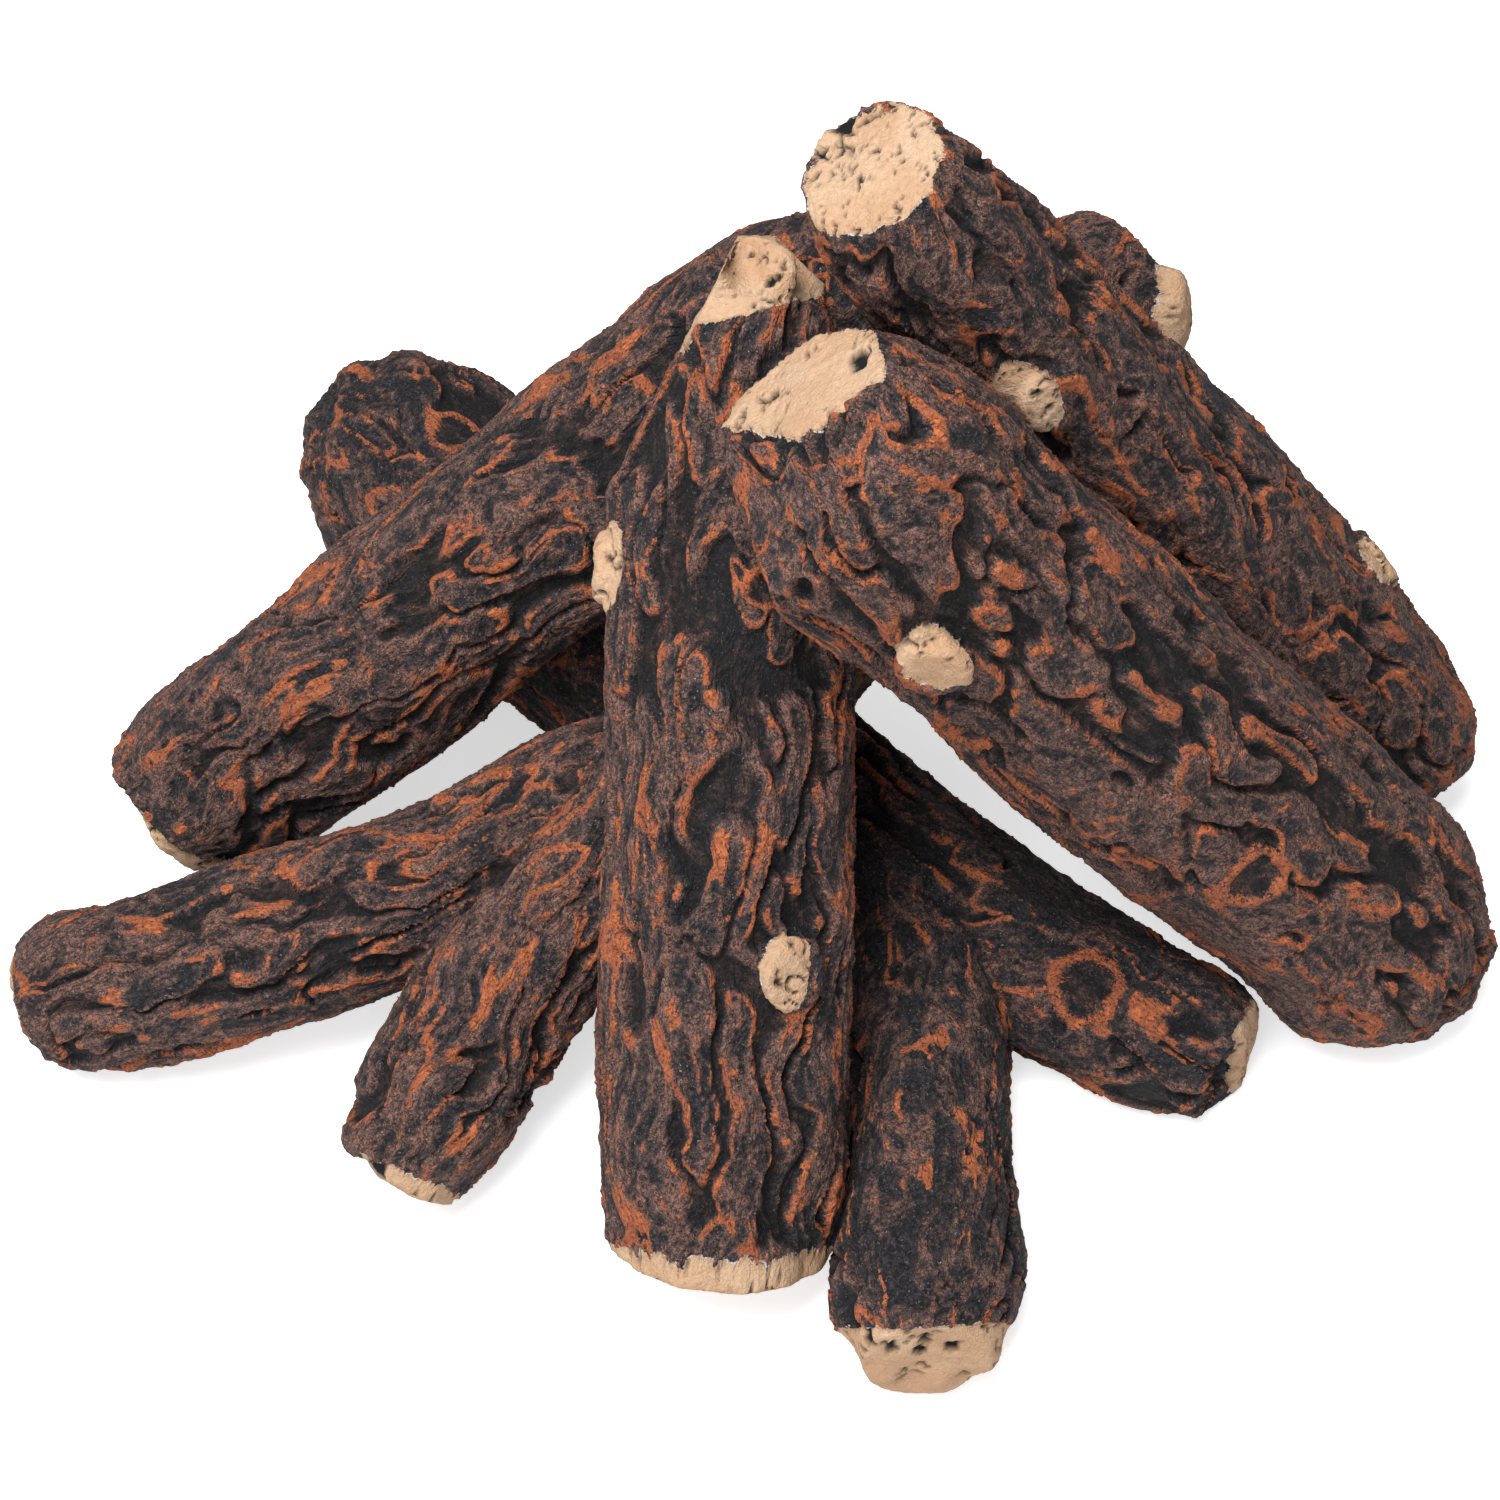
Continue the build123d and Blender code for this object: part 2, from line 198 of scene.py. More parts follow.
print("a smooth step at 0, 1/4, 1/2, 3/4 and 1:", ramp(np.linspace(0, 1, 5), 0, 1))

# %% [markdown]
# ## The bark pattern
#
# The real bark has long raised plates with dark furrows between them. The rims of the plates
# stand highest, and they carry the rust paint, because it was brushed on dry and only touched
# what stands proud. A furrow is where a stretched noise crosses zero, the plates are the rest,
# and a rim lies where the noise is a little away from zero, so it follows the furrow on both
# sides. Other noises bend the whole pattern, so that no line is straight, and choose the patches
# where the paint took. The logs differ in how far the pattern is drawn out along them, in the
# width of their plates, and in how much rust they carry. The right forked log carries less, and
# that paints the shade which the logs lying on it cast.

# %% Sizes of the bark, along the log, sideways and upwards, in mm
BEND_SIZE_MM = 30
BEND_REACH_MM = 7
BEND_STRETCH = (1.6, 1, 1)
CURL_SIZE_MM = 9
CURL_REACH_MM = 1.5
SMALL_SIZE_MM = (7.5, 3.6, 3.6)
TINY_SIZE_MM = (3.4, 2.1, 2.1)
FINE_FURROW_MM = 8
FOLD_WIDTH_MM = 7.5
PATCH_SIZE_MM = (24, 11, 11)
THIN_PATCH_SIZE_MM = (16, 8, 8)
LUMP_SIZE_MM = (60, 34, 34)

PLATE_RISE_MM = 2.1
RIM_RISE_MM = 0.7
FOLD_RISE_MM = 0.8
CREASE_DEPTH_MM = 0.9
MEAN_RISE_MM = 1.95
relief_mm = PLATE_RISE_MM + RIM_RISE_MM + CREASE_DEPTH_MM
print(f"from the bottom of a furrow to the rim of a plate: {relief_mm:.1f} mm")


# %% What differs from log to log
class Bark(NamedTuple):
    """How far a log's bark is drawn out, how wide its plates are, and how much rust and dust
    took; less of them also paints shade.
    """

    stretch: float
    plate_mm: float
    wear_and_shade: float
    seed: int


BARKS = {
    # The right forked log lies under the front and right logs, and its low wear paints their
    # shade on it.
    "right_forked_log": Bark(stretch=3.8, plate_mm=11, wear_and_shade=0.8, seed=1100),
    "left_forked_log": Bark(stretch=4.6, plate_mm=11, wear_and_shade=1.05, seed=2200),
    "left_log": Bark(stretch=3.0, plate_mm=14, wear_and_shade=1.0, seed=3300),
    "front_log": Bark(stretch=4.2, plate_mm=14, wear_and_shade=1.0, seed=4400),
    "right_log": Bark(stretch=3.2, plate_mm=15, wear_and_shade=1.1, seed=5500),
    "back_log": Bark(stretch=3.0, plate_mm=15, wear_and_shade=1.0, seed=6600),
}
print("width of the plates in mm:", {name: kind.plate_mm for name, kind in BARKS.items()})


# %% Plates, rims and furrows in limb coordinates
def bark(along, side, up, rise, kind, seed):
    """Height of the bark in mm, with crest, proud and crease from 0 to 1, and its grain."""
    place = np.stack([along, side, up], axis=1)
    bend = np.stack([noise(place / BEND_SIZE_MM, seed + k) for k in range(3)], axis=1)
    curl = np.stack([noise(place / CURL_SIZE_MM, seed + 5 + k) for k in range(3)], axis=1)
    bent = place + BEND_REACH_MM * bend * BEND_STRETCH + CURL_REACH_MM * curl
    grain = bent / (kind.stretch, 1, 1)
    small = noise(bent / SMALL_SIZE_MM, seed + 12)
    tiny = noise(bent / TINY_SIZE_MM, seed + 13)

    furrow = noise(grain / kind.plate_mm, seed + 10)
    furrow = furrow + 0.35 * noise(grain / FINE_FURROW_MM, seed + 11)
    level = np.abs(furrow) + 0.1 * np.clip(rise, -1.5, 1.5) + 0.06 * small + 0.03 * tiny
    plate = ramp(level, -0.02, 0.22)
    rim = np.exp(-(((level - 0.2) / 0.07) ** 2))
    crease = 1 - ramp(level, 0.0, 0.1)

    wave = noise(grain / FOLD_WIDTH_MM, seed + 14) + 0.12 * tiny
    fold = np.clip(1 - np.abs(wave) * 2.8, 0, 1)
    wrinkle = np.clip(1 - np.abs(small + 0.5 * tiny) * 2.4, 0, 1) ** 1.5

    patch = ramp(noise(place / PATCH_SIZE_MM, seed + 40) + 0.35 * small, -0.15, 0.3)
    thin_patch = ramp(noise(place / THIN_PATCH_SIZE_MM, seed + 41), 0, 0.4)
    crest = rim * (0.12 + 0.88 * patch) + 0.6 * fold**3 * thin_patch * (0.3 + 0.7 * plate)
    crest = np.clip(crest * (0.85 + 0.5 * small + 0.3 * tiny), 0, 1)
    proud = np.clip(0.2 + 0.15 * plate + 0.3 * rim + 0.3 * wrinkle + 0.3 * fold, 0, 1)

    height = PLATE_RISE_MM * plate + RIM_RISE_MM * rim
    height = height + FOLD_RISE_MM * fold * (0.3 + 0.7 * plate)
    height = height - CREASE_DEPTH_MM * crease - MEAN_RISE_MM
    lumps = noise(place / LUMP_SIZE_MM, seed + 30)
    height += (0.15 + 0.35 * plate) * wrinkle + 0.1 * tiny + lumps
    return np.stack([height, crest, proud, crease], axis=1), grain


# %% [markdown]
# ## Bark across a fork
#
# At a fork each point of the skin belongs to both limbs, to the nearer one more than to the
# other, so the two patterns are added with those weights. The CAD solid already has coarse
# ridges. How far a point stands above or below the mean of its station along the limb tells
# ridge from valley, and the plates then tend to lie on the ridges.

# %% The bark of a whole log
BLEND_MM = 3.0
STATION_MM = 8
STATIONS = 100
STATIONS_BEFORE = 5


def rise_above_mean(along, gap, weight):
    """How far each point stands above the mean of its station along the limb, in mm."""
    station = np.clip(along // STATION_MM + STATIONS_BEFORE, 0, STATIONS - 1).astype(int)
    shares = np.bincount(station, weight, STATIONS)
    held = shares > 1
    means = np.bincount(station, weight * gap, STATIONS)[held] / shares[held]
    middles = STATION_MM * (np.arange(STATIONS)[held] + 0.5 - STATIONS_BEFORE)
    return gap - np.interp(along, middles, means)


def bark_on(name, spots, kind):
    """The bark of all the limbs of a log, blended where they meet."""
    measures = [limb.measure(spots) for limb in limbs[name]]
    gaps = np.array([measure[3] for measure in measures])
    weights = np.exp(-(gaps - gaps.min(axis=0)) / BLEND_MM)
    weights /= weights.sum(axis=0)
    total = 0
    grain = np.zeros((len(spots), 3))
    for k, (along, side, up, gap) in enumerate(measures):
        rise = rise_above_mean(along, gap, weights[k])
        part, lines = bark(along, side, up, rise, kind, kind.seed + 100 * k)
        total = total + weights[k][:, None] * part
        nearest = weights[k] == weights.max(axis=0)
        grain[nearest] = lines[nearest] + 300 * k
    return total, grain


# %% [markdown]
# ## Swells and ring scars
#
# The castings aren't even: they swell and shrink here and there, which shows in their outline.
# Each swell has a centre, a radius and a lift in millimetres, below zero for a hollow. Where a
# branch once broke off, the bark has healed into a ring round a sunken middle. A few of these
# scars are plain to see in the photograph, so they are listed one by one.

# %% Where the swells and the scars are
SWELLS = {
    "right_forked_log": [
        ((-142, 177, 73), 28, 3.5),
        ((-182, 139, 29), 26, -4),
        ((128, -71, 39), 26, -2),
        ((17, -201, 20), 18, 2),
        ((75, -195, 24), 18, 2),
        ((49, -229, 14), 8, 3.5),
        ((34, -226, 16), 7, 2.5),
        ((65, -223, 18), 7, 3),
        ((57, -227, 15), 5, -2.5),
        ((41, -228, 15), 5, -2.5),
    ],
    "left_forked_log": [
        ((110, 109, 200), 20, 3),
        ((137, 98, 172), 16, 3.5),
        ((-115, -42, 84), 28, -4),
        ((-252, -75, 46), 16, 3),
        ((-259, -100, 39), 12, 2.5),
        ((-225, -114, 20), 24, -1.5),
        ((-137, -157, 38), 14, 4),
        ((-100, -159, 20), 16, -4),
    ],
    "left_log": [
        ((-137, -7, 50), 34, 3.5),
        ((-228, -22, 51), 16, -3),
        ((-44, 76, 196), 16, 3),
        ((-3, 98, 212), 16, -3),
    ],
    "front_log": [
        ((-58, -166, 36), 26, -2.5),
        ((-27, -208, 42), 16, 4),
        ((-23, 23, 265), 12, -3),
    ],
    "right_log": [((88, -93, 126), 40, 3.5), ((238, -70, 63), 22, -2.5)],
    "back_log": [
        ((8, 12, 316), 10, 5),
        ((2, 4, 311), 7, 3),
        ((22, 20, 322), 8, 2.5),
        ((51, 20, 305), 26, -3),
        ((153, 28, 183), 26, 2.5),
        ((238, 36, 73), 26, -3.5),
        ((245, 14, 35), 22, 5),
    ],
}
SCARS = {
    "right_forked_log": [((101, -102, 50), 11), ((-121, 126, 87), 9)],
    "front_log": [((-7, -64, 206), 6)],
    "right_log": [((148, -107, 118), 10)],
}
print("swells and hollows:", sum(len(swells) for swells in SWELLS.values()))
print("ring scars:", sum(len(scars) for scars in SCARS.values()))

# %% Swell and scar
SCAR_RIM_MM = 1.3
SCAR_DEPTH_MM = 1.2
SCAR_WAVE_MM = 7


def swell(name, spots, normals):
    """The points of a log, moved by its swells and hollows."""
    moved = spots.copy()
    for centre, radius, lift in SWELLS[name]:
        away = np.linalg.norm(spots - centre, axis=1)
        moved += (lift * np.exp(-((away / radius) ** 2)))[:, None] * normals
    return moved


def scar(name, spots, height, crest, crease, seed):
    """Put the ring scars of a log into its bark."""
    for centre, radius in SCARS.get(name, []):
        reach = np.linalg.norm(spots - centre, axis=1) / radius
        reach += 0.18 * noise(spots / SCAR_WAVE_MM, seed + 80)
        ring = np.exp(-(((reach - 1) / 0.28) ** 2))
        inside = ramp(-reach, -0.95, -0.6)
        height = height * (1 - np.maximum(ring, inside))
        height = height + SCAR_RIM_MM * ring - SCAR_DEPTH_MM * inside
        crest = np.maximum(crest * (1 - inside), 0.6 * ring)
        # The sunken middle counts as furrow too, so the paint darkens it there as painted shade.
        crease = np.maximum(crease, 0.8 * inside)
    return height, crest, crease


# %% [markdown]
# ## Bare ends
#
# Where a real log was sawn or broken off, the paint stops and the cream ceramic shows. Such a
# face is a plane: what stands beyond it is pressed back onto it and left bare, and its middle
# may bulge. Some faces are only bare and keep their shape, some only have the shape and keep
# their bark, and two small ones are painted over again, because they round off the edge of a
# bare face. Each acts within its reach, and its edge is ragged, because the paint chipped there.


# %% Where the faces at the ends are, in mm
class Face(NamedTuple):
    """A face of a log's end: a plane through a place, and what happens beyond it."""

    place: tuple
    facing: tuple
    reach: float
    bulge: float = 0
    pressed: bool = True
    finish: str = "bare"


FACES = {
    "right_forked_log": [
        Face((152, -114.5, 23), (0.9, -0.43, 0.05), 30, bulge=4),
        Face((45, -218, 31), (0.03, -0.85, -0.5), 38, pressed=False),
    ],
    "left_forked_log": [
        Face((127, 93, 176), (0.98, -0.15, 0.1), 25, bulge=14),
        Face((-122, -163, 32), (-0.4, -0.82, -0.4), 32, bulge=6),
        Face((-254, -92, 22), (-0.97, -0.15, -0.24), 34, bulge=3),
    ],
    "left_log": [Face((-210, -7, 24), (-0.62, -0.35, -0.7), 50, pressed=False)],
    "front_log": [
        Face((-14, -3, 260), (-0.23, 0.61, 0.71), 60, pressed=False),
        Face((-27, -1, 256), (-0.894, 0.287, 0.344), 60, finish="bark"),
        Face((16, 4, 261), (0.677, 0.471, 0.565), 60, finish="bark"),
        Face((-11, 23, 268), (0, 0.646, 0.763), 60, finish="bark"),
        Face((-15, -199.5, 45), (-0.03, -0.78, -0.62), 48, bulge=12),
    ],
    "right_log": [
        Face((-17, -68, 262), (-0.943, -0.236, -0.233), 90, finish="bark"),
        Face((1, -78, 278.5), (-0.63, 0.09, 0.77), 50, bulge=1),
        Face((-7.5, -67, 270), (-0.822, -0.455, 0.343), 60, finish="painted over"),
        Face((15.9, -75.8, 291), (-0.395, -0.6, 0.696), 60, finish="painted over"),
    ],
    "back_log": [
        Face((23, -11, 321), (-0.53, -0.16, 0.83), 45, bulge=2),
        Face((13, 10, 313), (-0.75, 0.45, 0.5), 24, pressed=False),
    ],
}
print("faces at the ends:", {name: len(faces) for name, faces in FACES.items()})

# %% Break off the ends
REACH_MARGIN_MM = 6


def break_ends(name, spots, moved, ragged):
    """Press the ends of a log onto their faces, and say how bare each point is."""
    bare = np.zeros(len(spots))
    for face in FACES[name]:
        facing = np.array(face.facing) / np.linalg.norm(face.facing)
        away = spots - np.array(face.place)
        beyond = away @ facing
        across = np.linalg.norm(away - beyond[:, None] * facing, axis=1)
        near = ramp(face.reach - across, -REACH_MARGIN_MM, 0)
        past = near * ramp(beyond + 0.9 * ragged, -0.6, 0.6)
        crown = np.clip(1 - (across / face.reach) ** 2, 0, 1)
        press = face.bulge * crown * near * ramp(beyond, -0.6, 2)
        if face.pressed:
            press -= np.maximum((moved - face.place) @ facing, 0) * near
        moved = moved + press[:, None] * facing
        if face.finish == "bare":
            bare = np.maximum(bare, past)
        elif face.finish == "painted over":
            bare = bare * (1 - past)
    return moved, bare


# %% [markdown]
# ## Knots
#
# A knot is the stub of a twig that was cut off close to the bark. It is a small bare disc, a
# little proud of the bark, with a shallow groove round it, and longer along the log than across
# it. The CAD solids already have the stubs, so the skin only adds the disc and its edge.


# %% Where the knots are, in mm
class Knot(NamedTuple):
    """A knot's place on the skin, its half length and half width, and how far it is raised."""

    place: tuple
    length: float
    width: float
    raised: float


KNOTS = {
    "front_log": [
        Knot((0.4, -143, 117), 12.5, 8, 0.6),
        Knot((-56, -40, 190), 15, 9, 1.5),
    ],
    "right_log": [Knot((42, -109, 223), 12, 9.5, 0.6)],
    "back_log": [
        Knot((70, -35, 254.6), 14, 10.5, 0.6),
        Knot((204, 23, 126), 11, 9, 2.0),
    ],
}
print("knots:", sum(len(knots) for knots in KNOTS.values()))

# %% Raise the knots
GROOVE_DEPTH_MM = 0.6


def add_knots(name, spots, normals, moved, bare, ragged):
    """Raise the knots of a log and leave them bare."""
    for knot in KNOTS.get(name, []):
        away = spots - np.array(knot.place)
        axis = limbs[name][0].steps[0] / limbs[name][0].lengths[0]
        along = away @ axis
        across = np.linalg.norm(away - along[:, None] * axis, axis=1)
        reach = np.hypot(along / knot.length, across / knot.width) + 0.13 * ragged
        disc = ramp(-reach, -1.06, -0.94)
        groove = np.exp(-(((reach - 1.2) / 0.2) ** 2))
        moved = moved + (disc * knot.raised - groove * GROOVE_DEPTH_MM)[:, None] * normals
        bare = np.maximum(bare, disc)
    return moved, bare


# %% [markdown]
# ## Pits, cracks and holes
#
# The bare ceramic is rough: it has small pits where air was trapped, short cracks, and a few
# larger dark holes. Pits and cracks come from noise, and the end of the back log has more of
# them. The holes that stand out in the photograph are listed, each with its radius.

# %% Where the holes are, in mm
HOLES = {
    "front_log": [
        ((-2, 9, 264), 1.8),
        ((-5, 8, 264), 1.8),
        ((-8, 5, 263), 1.6),
        ((-10, 1, 260), 1.4),
        ((-33, -209, 41), 4),
        ((-36, -207, 43), 4),
    ],
    "right_log": [((18, -57, 294), 4), ((45, -107, 226), 1.8)],
    "back_log": [
        ((17, 11, 321), 4),
        ((9, 15, 320), 3),
        ((74, -34, 250), 2.5),
        ((66, -38, 259), 2),
    ],
    "left_forked_log": [((-130, -164, 40), 4)],
    "right_forked_log": [
        ((54, -224, 38), 3.0),
        ((52, -226, 33), 2.6),
        ((43, -225, 39), 2.2),
        ((43, -226, 36), 2.2),
        ((42, -226, 32), 2.4),
        ((33, -224, 34), 3.2),
        ((28, -223, 34), 3.0),
        ((25, -222, 37), 2.2),
        ((66, -221, 37), 1.8),
        ((-121, 126, 87), 3.5),
    ],
}
print("holes:", sum(len(holes) for holes in HOLES.values()))

# %% Roughen the bare ceramic
PIT_SIZE_MM = 3.2
PIT_DEPTH_MM = 1.8
CRACK_SIZE_MM = 6
CRACKED_PATCH_MM = 9
CROWDED_PATCH_MM = 11
CROWDED_LOG = "back_log"
WAVE_SIZE_MM = 13
WAVE_RISE_MM = 1.3


def roughen(name, spots, moved, ragged, seed):
    """How pitted each point of bare ceramic is, and how far it stands out, in mm."""
    pits = layered(moved / PIT_SIZE_MM, seed + 70)
    split = noise(moved / CRACK_SIZE_MM, seed + 95) + 0.2 * ragged
    crack = ramp(-np.abs(split), -0.11, -0.04)
    crack *= ramp(noise(moved / CRACKED_PATCH_MM, seed + 96) + 0.2 * ragged, 0.1, 0.25)
    pitted = np.maximum(ramp(pits, 1.0, 1.2), 0.9 * crack)
    if name == CROWDED_LOG:
        crowded = pits + 0.6 * noise(moved / CROWDED_PATCH_MM, seed + 97)
        pitted = np.maximum(pitted, ramp(crowded, 0.55, 0.85))
    for centre, radius in HOLES.get(name, []):
        reach = np.linalg.norm(spots - centre, axis=1) / radius + 0.5 * ragged
        pitted = np.maximum(pitted, ramp(-reach, -1.1, -0.8))
    wave = noise(moved / WAVE_SIZE_MM, seed + 90)
    rough = 0.45 * pits + WAVE_RISE_MM * wave - PIT_DEPTH_MM * pitted
    return pitted, rough


# %% [markdown]
# ## From solid to skin
#
# The CAD solid comes as loose triangles of many sizes, too coarse for relief. Its doubles are
# merged and a voxel remesh turns it into an even grid of small quads, which has no seams and
# no poles. A few smoothing steps take off the edges that moulded ceramic doesn't have.

# %% An even grid over a solid
SMOOTHING_MM = 6.6
DOUBLES_M = 1e-6


def even_grid(node, piece_name, grid_mm):
    """A closed copy of a CAD node's shape, made of small even quads."""
    shape = bmesh.new()
    shape.from_mesh(node.data)
    bmesh.ops.remove_doubles(shape, verts=shape.verts, dist=DOUBLES_M)
    source = bpy.data.meshes.new(piece_name)
    shape.to_mesh(source)
    shape.free()
    piece = bpy.data.objects.new(piece_name, source)
    bpy.context.scene.collection.objects.link(piece)
    remesh = piece.modifiers.new("even grid", "REMESH")
    remesh.mode = "VOXEL"
    remesh.voxel_size = grid_mm / 1000
    remesh.use_smooth_shade = True
    soften = piece.modifiers.new("soften", "SMOOTH")
    soften.factor = 0.5
    soften.iterations = round(SMOOTHING_MM / grid_mm)
    graph = bpy.context.evaluated_depsgraph_get()
    mesh = bpy.data.meshes.new_from_object(piece.evaluated_get(graph), depsgraph=graph)
    piece.modifiers.clear()
    piece.data = mesh
    return piece


# %% [markdown]
# ## Sculpt a log
#
# All the parts of the relief now come together. The vertices are moved along their normals, by
# the bark where the log is painted and by the roughness where it is bare. What the paint needs
# to know, such as where the crests and the furrows are, is stored on the vertices as masks,
# because a material can read those at every point of the surface.

# %% Move the vertices and store the masks
FLOOR_GAP_MM = 0.2
RAGGED_SIZE_MM = 5.0


def read_mesh(mesh):
    """The vertices of a mesh in mm, and their normals."""
    flat = np.empty(len(mesh.vertices) * 3, np.float32)
    mesh.vertices.foreach_get("co", flat)
    spots = flat.reshape(-1, 3).astype(float) * 1000
    mesh.vertex_normals.foreach_get("vector", flat)
    return spots, flat.reshape(-1, 3).astype(float)


def write_mesh(mesh, moved, masks, grain):
    """Put the vertices back in metres, with the masks and the grain as attributes."""
    mesh.vertices.foreach_set("co", (moved / 1000).astype(np.float32).ravel())
    for mask_name, values in masks.items():
        layer = mesh.attributes.new(mask_name, "FLOAT", "POINT")
        layer.data.foreach_set("value", values.astype(np.float32))
    layer = mesh.attributes.new("grain", "FLOAT_VECTOR", "POINT")
    layer.data.foreach_set("vector", grain.astype(np.float32).ravel())
    mesh.update()


def sculpt(piece, name, kind):
    """Turn a log's even grid into bark, ends and knots. Returns the largest move in mm."""
    spots, normals = read_mesh(piece.data)
    pattern, grain = bark_on(name, spots, kind)
    height, crest, proud, crease = pattern.T
    # A log with little wear gets less rust and dust and looks darker; on the right forked log
    # this paints the shade of the logs that lie on it.
    crest = crest * (0.5 + 0.5 * kind.wear_and_shade)
    proud = proud * kind.wear_and_shade
    height, crest, crease = scar(name, spots, height, crest, crease, kind.seed)
    ragged = layered(spots / RAGGED_SIZE_MM, kind.seed + 60)
    moved = swell(name, spots, normals)
    moved, bare = break_ends(name, spots, moved, ragged)
    moved, bare = add_knots(name, spots, normals, moved, bare, ragged)
    pitted, rough = roughen(name, spots, moved, ragged, kind.seed)
    shift = (1 - bare) * height + bare * rough
    moved = moved + shift[:, None] * normals
    moved[:, 2] = np.maximum(moved[:, 2], FLOOR_GAP_MM)
    masks = {"crest": crest, "proud": proud, "crease": crease, "bare": bare, "pit": pitted}
    write_mesh(piece.data, moved, masks, grain)
    return np.abs(shift).max()


# %% [markdown]
# ## The six skins
#
# Each log gets its skin on a grid of its own. A finer grid shows finer bark, but a piece of
# more than 200,000 triangles is thinned when it is exported, so each grid is about as fine as
# that allows: a big log has a coarser one than a small log.

# %% Make the six skins
GRIDS_MM = {
    "right_forked_log": 1.42,
    "left_forked_log": 1.33,
    "left_log": 1.13,
    "front_log": 1.14,
    "right_log": 1.24,
    "back_log": 1.19,
}

skins = {}
for name, kind in BARKS.items():
    grid_mm = GRIDS_MM[name]
    skin = even_grid(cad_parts[name], name + "_skin", grid_mm)
    deepest = sculpt(skin, name, kind)
    skins[name] = skin
    quads = len(skin.data.polygons)
    print(f"{skin.name}: {quads} quads, moved by up to {deepest:.1f} mm")

# %% [markdown]
# ## Shader maths as Python
#
# The paint is a node material. Wiring dozens of Math nodes by hand hides the idea, so one small
# class wraps a socket: `a * b + c` then adds the nodes. Any other node comes from `Shader.add`,
# which takes the node's type, its settings and what goes into its sockets.


# %% The socket wrapper
class Value:
    """A socket that can be used in Python arithmetic."""

    def __init__(self, shader, socket):
        self.shader = shader
        self.socket = socket

    def join(self, operation, other, swapped=False):
        terms = (other, self) if swapped else (self, other)
        return self.shader.add("ShaderNodeMath", {"operation": operation}, dict(enumerate(terms)))

    def __add__(self, other):
        return self.join("ADD", other)

    def __radd__(self, other):
        return self.join("ADD", other, True)

    def __sub__(self, other):
        return self.join("SUBTRACT", other)

    def __rsub__(self, other):
        return self.join("SUBTRACT", other, True)

    def __mul__(self, other):
        return self.join("MULTIPLY", other)

    def __rmul__(self, other):
        return self.join("MULTIPLY", other, True)


# %% A material and the ways to add nodes to it
class Shader:
    """A new material, and the ways to add nodes to it."""

    def __init__(self, name):
        self.material = bpy.data.materials.new(name)
        self.material.use_nodes = True
        self.nodes = self.material.node_tree.nodes
        self.links = self.material.node_tree.links
        self.surface = self.nodes["Principled BSDF"]

    def add(self, kind, settings=None, inputs=None, output=0):
        node = self.nodes.new(kind)
        for key, value in (settings or {}).items():
            setattr(node, key, value)
        for key, value in (inputs or {}).items():
            self.feed(node.inputs[key], value)
        return Value(self, node.outputs[output])

    def feed(self, socket, value):
        if isinstance(value, Value):
            self.links.new(value.socket, socket)
        else:
            socket.default_value = value

    def mask(self, name):
        """A mask that sculpting stored on the vertices."""
        return self.add("ShaderNodeAttribute", {"attribute_name": name}, output="Fac")

    def noise(self, vector, scale, detail, roughness, distortion=0.0):
        inputs = {"Vector": vector, "Scale": scale, "Detail": detail}
        inputs |= {"Roughness": roughness, "Distortion": distortion}
        return self.add("ShaderNodeTexNoise", {}, inputs, output="Fac")

    def step(self, value, low, high):
        """Zero below low, one above high and a smooth step between them."""
        settings = {"interpolation_type": "SMOOTHSTEP"}
        inputs = {"Value": value, "From Min": low, "From Max": high}
        return self.add("ShaderNodeMapRange", settings, inputs)

    def line(self, source, thin, wide):
        """One where a noise crosses its middle, which gives curling lines."""
        away = self.add("ShaderNodeMath", {"operation": "ABSOLUTE"}, {0: source - 0.5})
        return 1.0 - self.step(away, thin, wide)

    def mix(self, share, first, second):
        """From the first colour to the second as share goes from 0 to 1."""
        settings = {"data_type": "RGBA"}
        inputs = {0: share, 6: first, 7: second}
        return self.add("ShaderNodeMix", settings, inputs, output=2)


# %% [markdown]
# ## The paint
#
# The colours could be painted on an image, but that has an end to its detail, and it needs the
# surface to be unwrapped. Here noises and the masks from the sculpting place the colours, and
# they are laid over each other as on the real log. Charcoal black, from soot to ash, lies at the
# bottom. The plates carry a thin film of umber and fine curling threads of a dusty brown, with
# pale specks that are painted glints on the sandy grain. Brick and rust lie on the crests, as a
# nearly dry brush leaves them, and the furrows keep the black, darkened further by painted shade.
# Each colour is the one that the surface has in plain light, in linear red, green and blue, but
# for the painted glints and the painted shade.

# %% Colours of the paint and the ceramic
# This near-black is soot in the paint, and it is also laid in the furrows as painted shade.
SOOT_AND_SHADE = (0.005, 0.0045, 0.0055, 1)
CHARCOAL = (0.036, 0.033, 0.038, 1)
ASH = (0.15, 0.135, 0.138, 1)
UMBER = (0.078, 0.048, 0.043, 1)
DUST = (0.37, 0.185, 0.135, 1)
# Pale specks of this colour are painted glints on the sandy grain.
GLINT = (0.4, 0.36, 0.35, 1)
BRICK = (0.33, 0.1, 0.052, 1)
RUST = (0.47, 0.135, 0.05, 1)
CREAM = (0.49, 0.3, 0.178, 1)
PALE_CREAM = (0.55, 0.375, 0.245, 1)
CHALK = (0.62, 0.58, 0.53, 1)

# %% The masks, and noise in several sizes
paint = Shader("painted_ceramic")
crest = paint.mask("crest")
proud = paint.mask("proud")
crease = paint.mask("crease")
bare = paint.mask("bare")
pit = paint.mask("pit")

